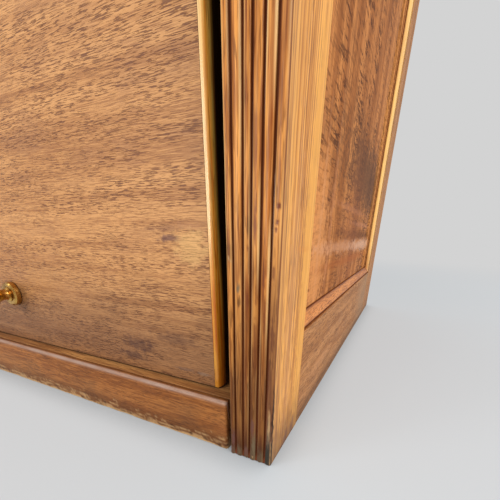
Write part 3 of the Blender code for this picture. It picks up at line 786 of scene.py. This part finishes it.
def end_of_unit(unit, side_name):
    """One end: front stile, rear stile, two rails, moulding and panel."""
    side = SIDES[side_name]
    stem = f"{unit}_{side_name}"
    base = unit == "base"         # its end frame is four CAD nodes; a glazed section's is one
    panel_low, panel_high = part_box(stem + "_end_panel")
    whole_low, whole_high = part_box(stem + ("_rear_stile" if base else "_end_frame"))
    low_z, high_z = whole_low.z, whole_high.z
    x_low, x_high = sorted((side * INNER_X, side * OUTER_X))
    rail_front = FRONT + STILE_DEPTH + 3 * HAIRLINE
    rail_rear = panel_high.y + MOULD_WIDTH - 2 * HAIRLINE
    stile_front = panel_high.y + MOULD_WIDTH + HAIRLINE
    reeded_stile(stem + "_reeded_stile", side, low_z, high_z,
                 stem + ("_front_stile" if base else "_end_frame"), stem == "base_right")
    board(stem + "_rear_board", (x_low, stile_front, low_z), (x_high, BACK, high_z), oak_rear_z,
          "case", "oak_frame", stem + "_rear_stile" if base else None)
    rails = {
        "bottom": (low_z, panel_low.z - MOULD_WIDTH - HAIRLINE),
        "top": (panel_high.z + MOULD_WIDTH + HAIRLINE, high_z),
    }
    for rail_name, (rail_low, rail_high) in rails.items():
        board(f"{stem}_{rail_name}_rail_board", (x_low, rail_front, rail_low),
              (x_high, rail_rear, rail_high), oak_rail_y, "case", "oak_frame",
              f"{stem}_{rail_name}_rail" if base else None, radius=0.4 * MM)
    panel_moulding(stem + "_moulding", side, panel_low, panel_high)
    board(stem + "_panel_board", panel_low, panel_high, oak_panel_z, "case", "oak_panel",
          stem + "_end_panel", radius=0.3 * MM)


# ------------------------ plinth and boards
PLINTH_SEEN = 220 * MM       # stretch at the right end that the photo shows
NOSING = 2.5 * MM            # radius of the plinth's upper front edge
PLINTH_ARRIS = 0.9 * MM      # radius of its ends' front edges


def plinth_places(low_x, high_x):
    """Places of the plinth's rings from right to left, closer together where they are seen."""
    fine, coarse = 0.8 * MM, 4 * MM
    places = [high_x]
    while places[-1] > low_x + coarse:
        places.append(places[-1] - (fine if places[-1] > high_x - PLINTH_SEEN else coarse))
    return [*places, low_x]


def plinth_front(low, high, torn):
    """Front of the plinth in (y, z, 1 on a chip): chipped lower edge, face and nosing."""
    bite = (0.3 + 1.2 * torn) * MM
    chipped = (0.2 + 0.5 * torn) * MM
    points = [(low.y + bite, low.z, 1), (low.y + bite * 0.45, low.z + chipped * 0.35, 1),
              (low.y, low.z + chipped, 1)]
    face = high.z - NOSING - low.z - chipped
    points += [(low.y, low.z + chipped + face * step / 24, 0) for step in range(1, 25)]
    for step in range(1, 9):
        angle = math.pi / 2 * step / 8
        points.append((low.y + NOSING * (1 - math.cos(angle)),
                       high.z - NOSING * (1 - math.sin(angle)), 0))
    return points


def plinth_mark(x_mm, z_mm, chip, on_face, torn):
    """Paints of a point: bare chips, flakes above them, a painted highlight along the nosing, painted
    shade along its top, pits and dirt.
    """
    mark = unpainted()
    if chip:
        mark["bare"] = min(0.9, 0.5 + 0.6 * torn)
    elif on_face:
        flake = rough_noise(0.10 * x_mm, 0.9 * z_mm, 5.0)
        flake += 0.6 * rough_noise(0.6 * x_mm, 2.2 * z_mm, 3.0)
        mark["bare"] = clamp(1.2 * (flake - 0.125 * z_mm + 0.5), 0.0, 0.5)
        # painted highlight along the nosing, a reflection of the sky
        sheen_band = smooth_step(26.0, 27.6, z_mm) * smooth_step(29.0, 28.2, z_mm)
        mark["painted_sheen"] = sheen_band * (0.7 + 0.4 * rough_noise(0.08 * x_mm, 3.0, 0.2))
        pit = rough_noise(0.22 * x_mm, 0.8 * z_mm, 9.0) * smooth_step(7.0, 2.0, z_mm)
        mark["split"] = clamp(2.4 * pit - 0.4, 0.0, 0.7)
        mark["shade"] = 0.3 * smooth_step(12.0, 5.0, z_mm) + 0.2
    # painted shade along the plinth's top, in the step under the bottom board
    if z_mm > 10.0:
        mark["shade"] = max(mark["shade"], 0.65 * smooth_step(28.3, 28.9, z_mm))
    mark["tone"] = 0.5 * rough_noise(0.03 * x_mm, 0.15 * z_mm, 2.0)
    return mark


def plinth():
    """Plinth with a rounded nosing; its bottom front edge is chipped down to pale wood."""
    low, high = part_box("plinth_rail")
    board_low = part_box("bottom_board")[0]
    ledge = board_low.y - 4 * HAIRLINE
    rebate = board_low.z - 3 * HAIRLINE
    hidden = [(ledge, high.z, 0), (ledge, rebate, 0), (high.y, rebate, 0), (high.y, low.z, 0)]
    face_end = (low.y + ledge) / 2    # what lies before this follows the rounded ends
    rings = []
    marks = []
    for x in plinth_places(low.x, high.x):
        x_mm = x / MM
        flat = PLINTH_ARRIS - min(high.x - x, x - low.x, PLINTH_ARRIS)
        inset = PLINTH_ARRIS - math.sqrt(max(0.0, PLINTH_ARRIS ** 2 - flat ** 2))
        torn = 0.45 + 0.9 * rough_noise(0.11 * x_mm, 1.3, 0.0)
        torn = max(0.0, torn + 0.5 * rough_noise(0.5 * x_mm, 7.0, 0.0))
        section = [(y + inset if y < face_end else y, z, chip)
                   for y, z, chip in plinth_front(low, high, torn) + hidden]
        rings.append([(x, y, z) for y, z, _ in section])
        marks.append([plinth_mark(x_mm, z / MM, chip, y < face_end, torn) for y, z, chip in section])
    bm, _ = painted_loft(rings, marks)
    add_piece("plinth_board", bm, oak_plinth_worn, "case", "plinth_rail", smooth=50)


def case_boards():
    """Per unit: its floor, front rail and back."""
    for unit in UNITS:
        floor = "bottom_board" if unit == "base" else unit + "_shelf"
        board(floor + "_piece", *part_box(floor), oak_shelf_x, "case", "oak_shelf", floor,
              radius=0.5 * MM)
        rail = unit + "_top_rail"
        board(unit + "_front_rail", *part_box(rail), oak_frame_x, "case", "oak_frame", rail,
              radius=1.2 * MM)
        back = unit + "_back_panel"
        board(unit + "_back_board", *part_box(back), back_material, "case", "plywood_back", back)


def top_board():
    """Moulded top: a cove, a small step and a half-round edge, on three sides."""
    low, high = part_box("top_board")
    under, cove_wide, cove_tall = 9 * MM, 7 * MM, 8 * MM
    step_in, step_low, edge_low = 1.2 * MM, 8.6 * MM, 10 * MM
    outline = [(12 * MM, 0.0), (under, 0.0)]
    for step in range(9):
        angle = math.pi / 2 * step / 8
        outline.append((under - cove_wide * math.sin(angle), cove_tall * (1 - math.cos(angle))))
    outline += [(step_in, step_low), (step_in, edge_low)]
    radius = (high.z - low.z - edge_low) / 2
    for step in range(13):
        angle = math.pi * step / 12
        outline.append((radius * 0.75 * (1 - math.sin(angle)),
                        edge_low + radius * (1 - math.cos(angle))))
    bm = bmesh.new()
    rings = []
    for inset, rise in outline:
        z = low.z + rise
        rings.append([(low.x + inset, low.y + inset, z), (high.x - inset, low.y + inset, z),
                      (high.x - inset, high.y, z), (low.x + inset, high.y, z)])
    loft(bm, rings)
    add_piece("top_moulded_board", bm, oak_frame_x, "case", "top_board", smooth=35)


# ------------------------ doors
def round_top(low, high):
    """Door section in (y, z), half round at the top, with outward directions."""
    radius = (high.y - low.y) / 2
    middle = (low.y + high.y) / 2
    outline = [(low.y, low.z, -1, -1), (high.y, low.z, 1, -1)]
    for step in range(25):
        angle = math.pi * step / 24
        out_y, out_z = math.cos(angle), math.sin(angle)
        outline.append((middle + radius * out_y, high.z - radius + radius * out_z, out_y, out_z))
    return outline


def round_topped(name, node, material, body, radius, overlap=0.0):
    """A door part with a half-round top, as long as its node and an overlap at each end."""
    low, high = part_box(node)
    bm = bmesh.new()
    loft(bm, [[(x, y, z) for y, z, _, _ in round_top(low, high)]
              for x in (low.x - overlap, high.x + overlap)])
    soften(add_piece(name, bm, material, body, node), radius)


ROUND_STEPS = 10             # rings of the lipping's rounded outer side
ROUND_SIDE = 2.4 * MM        # how far it reaches along the door
ROUND_BACK = 5.5 * MM        # how far it falls back from the front and rear
ROUND_TOP = 1 * MM           # how far it falls at the top and bottom
FRONT_STEPS = 40             # points up the lipping's front


def lipping_mark(step, z):
    """Paints of a ring: a painted highlight on the front, stronger towards the top, and painted shade
    over the outer edge, which reaches further towards the front near the top.
    """
    lit = smooth_step(60, 125, z / MM + 30 * rough_noise(0, 0, 40 * z))
    return unpainted() | {
        # shine is the painted highlight; split here is painted shade towards the door's gap
        "shine": min(1.0, 1.15 * 0.6 ** (step + 1)) * lit,
        "reddish": 0.12 * smooth_step(3.0, 7.0, step),
        "split": smooth_step(7.2 - 2.4 * lit, 10.2 - 2.0 * lit, step)}


def lipping(side_name):
    """Solid strip on the door's edge, its outer side rounded over all round."""
    side = SIDES[side_name]
    node = "base_door_lipping_" + side_name
    low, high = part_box(node)
    inner, outer = (low.x, high.x) if side > 0 else (high.x, low.x)
    outline = round_top(low, high)
    drop = (low.z - outline[-1][1]) / FRONT_STEPS
    outline += [(low.y, outline[-1][1] + drop * step, -1, 0) for step in range(1, FRONT_STEPS)]
    rings = [[(inner, y, z) for y, z, _, _ in outline]]
    for step in range(ROUND_STEPS + 1):
        angle = math.pi / 2 * step / ROUND_STEPS
        turned = 1 - math.cos(angle)
        x = outer - side * ROUND_SIDE * (1 - math.sin(angle))
        rings.append([(x, y - turned * ROUND_BACK * out_y, z - turned * ROUND_TOP * out_z)
                      for y, z, out_y, out_z in outline])
    marks = [[lipping_mark(step, z) for _, z, _, _ in outline] for step in range(-1, ROUND_STEPS + 1)]
    bm, _ = painted_loft(rings, marks)
    add_piece("base_door_bullnose_" + side_name, bm, oak_lipping_worn, "base_door", node)


def solid_door():
    """The base's door; its board closes the joints to the lippings."""
    round_topped("base_door_board", "base_door_panel", oak_door_x, "base_door",
                 0.15 * MM, overlap=2 * HAIRLINE)
    for side_name in SIDES:
        lipping(side_name)


def glazed_door(unit):
    """Two stiles and two rails round a pane."""
    body = unit + "_door"
    parts = {"stile_left": oak_frame_z, "stile_right": oak_frame_z, "top_rail": oak_frame_x}
    for part, material in parts.items():
        node = f"{body}_{part}"
        round_topped(node + "_piece", node, material, body, 1.0 * MM)
    node = body + "_bottom_rail"
    board(node + "_piece", *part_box(node), oak_frame_x, body, "oak_frame", node, radius=1.0 * MM)
    node = body + "_glass"
    low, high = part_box(node)
    board(unit + "_pane", low, high, glass_material, body, "glass", node, radius=0.2 * MM)
    glazing_beads(unit, low, high)


def glazing_beads(unit, low, high):
    """Quarter-round beads that hold the pane, inside the door frame, front and back."""
    size = 6 * MM
    clear = 2 * HAIRLINE
    corners = ((low.x, low.z, 1, 1), (high.x, low.z, -1, 1), (high.x, high.z, -1, -1),
               (low.x, high.z, 1, -1))
    section = [(0.0, clear), (0.0, size)]
    for step in range(7):
        angle = math.pi / 2 * step / 6
        section.append((size * math.sin(angle), clear + (size - clear) * math.cos(angle)))
    for face_name, face_y, out in (("front", low.y, -1), ("rear", high.y, 1)):
        rings = [[(x + to_x * across, face_y + out * rise, z + to_z * across)
                  for across, rise in section] for x, z, to_x, to_z in corners]
        bm = bmesh.new()
        loft(bm, [*rings, rings[0]], caps=False)
        bmesh.ops.remove_doubles(bm, verts=bm.verts, dist=0.01 * MM)
        add_piece(f"{unit}_{face_name}_bead", bm, oak_frame_x, unit + "_door", smooth=35)


# Knob from its head to the door: shares of its radius and of its length
KNOB_PROFILE = (
    (0.30, 0.995), (0.58, 0.97), (0.80, 0.91), (0.94, 0.83), (1.0, 0.74), (0.98, 0.66),
    (0.86, 0.57), (0.62, 0.50), (0.44, 0.44), (0.36, 0.36), (0.34, 0.28), (0.38, 0.22),
    (0.50, 0.19), (0.50, 0.165), (0.70, 0.16), (0.78, 0.12), (0.80, 0.05), (0.80, 0.0),
)
KNOB_STEPS = 40


def knob(unit, side_name):
    """Turned brass pull with a rose against the door and a domed head."""
    node = f"{unit}_door_knob_{side_name}"
    low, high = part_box(node)
    radius = (high.x - low.x) / 2
    centre_x, centre_z = (low.x + high.x) / 2, (low.z + high.z) / 2
    turns = [2 * math.pi * step / KNOB_STEPS for step in range(KNOB_STEPS)]
    rings = [[(centre_x + radius * wide * math.cos(angle), high.y - (high.y - low.y) * rise,
               centre_z + radius * wide * math.sin(angle)) for angle in turns]
             for wide, rise in KNOB_PROFILE]
    bm = bmesh.new()
    loft(bm, rings)
    add_piece(node + "_turned", bm, brass_material, unit + "_door", node, smooth=32)


def carry_over(node, radius):
    """A CAD node that stays as it is, in steel with softened arrises."""
    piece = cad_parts[node]
    piece.data.materials.clear()
    piece.data.materials.append(steel_material)
    soften(piece, radius, 2)


def doors():
    solid_door()
    for unit in UNITS:
        if unit != "base":
            glazed_door(unit)
        for side_name in SIDES:
            knob(unit, side_name)
            carry_over(f"{unit}_pivot_pin_{side_name}", 0.2 * MM)
            carry_over(f"{unit}_guide_{side_name}", 0.4 * MM)


# ------------------------ stage, light and camera
BACKGROUND = srgb(211, 211, 211)
FLOOR_HALF = 30.0
FLOOR_DROP = 0.05 * MM
FLOOR_GLOW, FLOOR_GLOW_FAR = 0.662, 0.651
FLOOR_NEAR, FLOOR_FAR = 0.6, 1.5          # from the middle; the glow takes over between them
PAINTED_SHADOW_REACH = 22 * MM
CONTACT_FRONT, CONTACT_END = 0.48, 0.78   # share of the glow left in the painted shadow along the front and the end


def stage_floor():
    """Pale floor: half paint and half glow, all glow far away, with a painted shadow where the object
    meets it.
    """
    g = Graph("studio_floor")
    g.tree.nodes.remove(g.shader)
    paint = g.mix(g.noise((3, 3, 3), detail=2.0), srgb(200, 209, 217), srgb(204, 213, 221))
    matt = g.node("BsdfDiffuse", {"Color": paint})
    away = g.vector("LENGTH", g.place())
    level = g.span(away, FLOOR_NEAR, FLOOR_FAR, FLOOR_GLOW, FLOOR_GLOW_FAR)
    # painted shadow: the glow is dimmed where the object is near, more along the front than the end
    darkest = g.span(g.axis("X"), OUTER_X - 10 * MM, OUTER_X + 15 * MM, CONTACT_FRONT, CONTACT_END)
    painted_shadow = g.span(g.crevice(PAINTED_SHADOW_REACH), 0.45, 1.0, darkest, 1.0)
    glow = g.node("Emission",
                  {"Color": (1.0, 1.0, 1.0, 1.0), "Strength": g.times(level, painted_shadow)})
    share = g.span(away, FLOOR_NEAR, FLOOR_FAR, 0.5, 1.0)
    blend = g.node("MixShader", {0: share, 1: matt.outputs[0], 2: glow.outputs[0]})
    g.feed(g.tree.nodes["Material Output"], {"Surface": blend.outputs[0]})

    bm = bmesh.new()
    bm.faces.new([bm.verts.new((x * FLOOR_HALF, y * FLOOR_HALF, 0.0))
                  for x, y in ((-1, -1), (1, -1), (1, 1), (-1, 1))])
    floor = mesh_object("floor", bm, g.material)
    floor.location.z = cad_box[0].z - FLOOR_DROP


def studio_world():
    """Even grey surroundings."""
    world = bpy.data.worlds.new("studio")
    world.use_nodes = True
    background = world.node_tree.nodes["Background"]
    background.inputs["Color"].default_value = BACKGROUND
    background.inputs["Strength"].default_value = 1.0
    bpy.context.scene.world = world


# Lamps aimed at the front right bottom corner: place from it, size, power in watts, colour
LIGHTS = {
    "key": ((1.7, -0.5, 1.3), 1.2, 35, (1.0, 0.96, 0.90)),
    "window": ((-1.25, -1.85, 0.5), 1.0, 15, (1.0, 0.99, 0.97)),
    "sky": ((-1.4, -1.3, 1.8), 0.6, 8, (1.0, 0.97, 0.94)),
    "glint": ((-0.70, -2.0, 0.30), 0.45, 9, (1.0, 0.90, 0.74)),
}


def softbox(name, offset, size, power, colour):
    """A square lamp that the camera can't see."""
    data = bpy.data.lights.new(name, "AREA")
    data.shape = "SQUARE"
    data.size = size
    data.energy = power
    data.color = colour
    light = linked(name, data)
    light.location = CORNER + Vector(offset)
    light.rotation_mode = "QUATERNION"
    light.rotation_quaternion = (-Vector(offset)).to_track_quat("-Z", "Y")
    light.visible_camera = False


# The camera, solved from the edges in the photo; its place is from the front right bottom corner
CAMERA_FROM_CORNER = (0.0387, -0.1013, 0.1029)
CAMERA_TURN, CAMERA_DIP, CAMERA_ROLL = 25.75, 24.57, 0.70   # degrees
CAMERA_LENS_MM = 20.81
CAMERA_SHIFT = (-0.0047, 0.2337)
CAMERA_CLIP = (0.005, 100)


def camera():
    data = bpy.data.cameras.new("view")
    data.lens = CAMERA_LENS_MM
    data.shift_x, data.shift_y = CAMERA_SHIFT
    data.clip_start, data.clip_end = CAMERA_CLIP
    view = linked("view", data)
    turn, dip = math.radians(CAMERA_TURN), math.radians(CAMERA_DIP)
    look = Vector((-math.sin(turn) * math.cos(dip), math.cos(turn) * math.cos(dip), -math.sin(dip)))
    view.location = CORNER + Vector(CAMERA_FROM_CORNER)
    view.rotation_mode = "QUATERNION"
    roll = Quaternion((0, 0, 1), math.radians(CAMERA_ROLL))
    view.rotation_quaternion = look.to_track_quat("-Z", "Y") @ roll
    bpy.context.scene.camera = view
    bpy.context.scene.view_settings.view_transform = "Standard"


# ------------------------ everything
oak_frame_x = oak("oak_frame", "X")
oak_frame_z = oak("oak_frame", "Z")
oak_stile_worn = oak("oak_stile", "Z", worn=True, marks=STILE_MARKS)
oak_reed_worn = oak("oak_reed", "Z", worn=True)
oak_rail_y = oak("oak_rail", "Y", marks=RAIL_MARKS)
oak_rear_z = oak("oak_rail", "Z")
oak_sill_worn = oak("oak_sill", "Y", worn=True)
oak_panel_z = oak("oak_panel", "Z", marks=PANEL_MARKS)
oak_door_x = oak("oak_door", "X", marks=DOOR_MARKS)
oak_lipping_worn = oak("oak_lipping", "Z", worn=True)
oak_plinth_worn = oak("oak_plinth", "X", worn=True)
oak_shelf_x = oak("oak_shelf", "X")
back_material = plain_back()
brass_material = metal("brass", srgb(214, 170, 92), srgb(168, 124, 62), 0.16, 0.36, (400, 20, 400))
steel_material = metal("steel", srgb(176, 176, 178), srgb(134, 132, 130), 0.25, 0.45, (600, 15, 600))
glass_material = clear_glass()

for unit_name in UNITS:
    for end_name in SIDES:
        end_of_unit(unit_name, end_name)
plinth()
case_boards()
top_board()
doors()
stage_floor()
studio_world()
for light_name, settings in LIGHTS.items():
    softbox(light_name, *settings)
camera()
